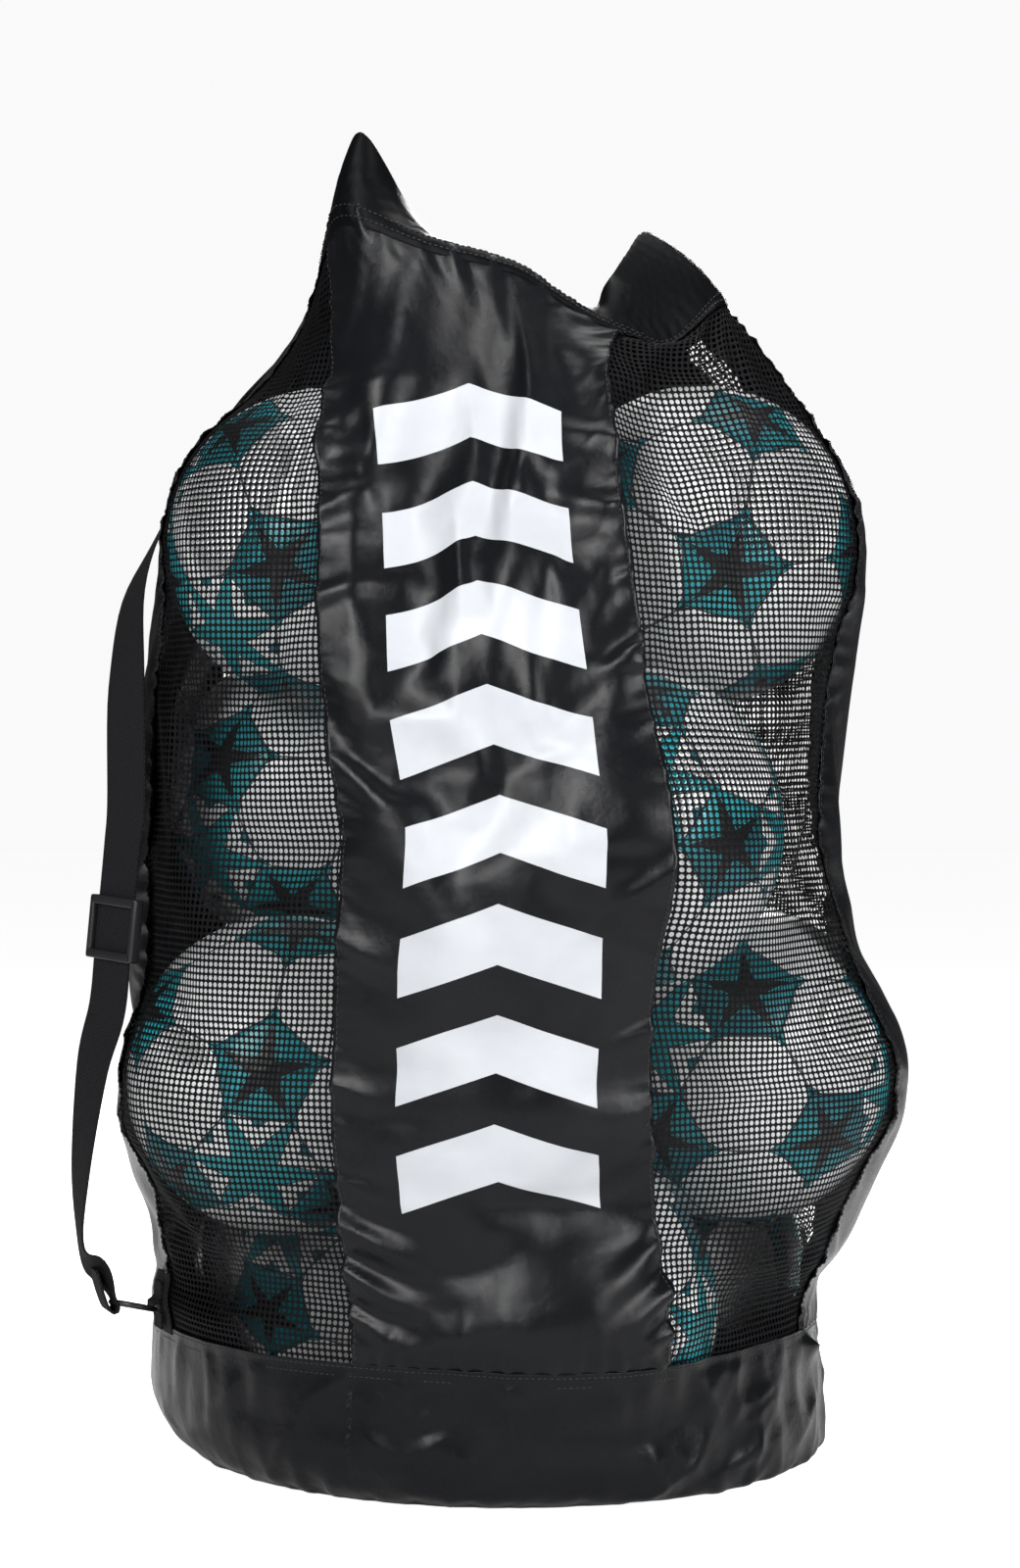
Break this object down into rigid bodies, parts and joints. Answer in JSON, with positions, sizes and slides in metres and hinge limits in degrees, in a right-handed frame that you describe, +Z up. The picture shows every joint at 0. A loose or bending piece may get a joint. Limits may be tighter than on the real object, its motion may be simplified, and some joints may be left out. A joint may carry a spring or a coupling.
{
  "type": "mesh ball sack",
  "caption": "Tall round carry sack of alternating cloth and mesh gores with an open hemmed mouth, flat base, side shoulder strap with slide adjuster, filled with footballs.",
  "frame": {"origin": "centre of the base disc's underside, on the floor", "axes": "+Z up along the sack, -Y the front with the printed cloth gore, -X the shoulder strap's side"},
  "size_m": [0.5751, 0.5362, 0.8998],
  "materials": {
    "nylon_panel": "satin woven nylon",
    "mesh_cloth": "knitted mesh with round holes",
    "nylon_casing": "double satin nylon hem",
    "nylon_band": "satin woven nylon",
    "base_cloth": "coated nylon",
    "eyelet": "black lacquered",
    "webbing": "matt woven webbing",
    "plastic": "moulded, fine grain",
    "ball": "coated panels over a bladder"
  },
  "bodies": {
    "sack": {"panel_front": "nylon_panel", "panel_right": "nylon_panel", "panel_back": "nylon_panel", "panel_left": "nylon_panel", "mesh_front_right": "mesh_cloth", "mesh_back_right": "mesh_cloth", "mesh_back_left": "mesh_cloth", "mesh_front_left": "mesh_cloth", "mouth_casing": "nylon_casing", "eyelet_left": "eyelet", "eyelet_right": "eyelet", "base_band": "nylon_band", "base_disc": "base_cloth", "strap_anchor_upper": "webbing", "strap_stud": "plastic", "strap_ring": "plastic", "strap_anchor_lower": "webbing", "ball_1a": "ball", "ball_1b": "ball", "ball_1c": "ball", "ball_2a": "ball", "ball_2b": "ball", "ball_2c": "ball", "ball_3a": "ball", "ball_3b": "ball", "ball_3c": "ball", "ball_4a": "ball", "ball_4b": "ball"},
    "strap": {"strap_upper": "webbing", "strap_lower": "webbing"},
    "adjuster": {"strap_adjuster": "plastic"}
  },
  "joints": [
    {"name": "strap_swing", "type": "hinge", "parent": "sack", "child": "strap", "pos_m": [-0.25873, -0.07152, 0.107], "axis": [0.1733, 0.1897, 0.9664], "range_deg": [-20, 0]},
    {"name": "adjuster_slide", "type": "slide", "parent": "strap", "child": "adjuster", "axis": [0.0933, 0, 0.9956], "range_m": [-0.018, 0.02]}
  ]
}
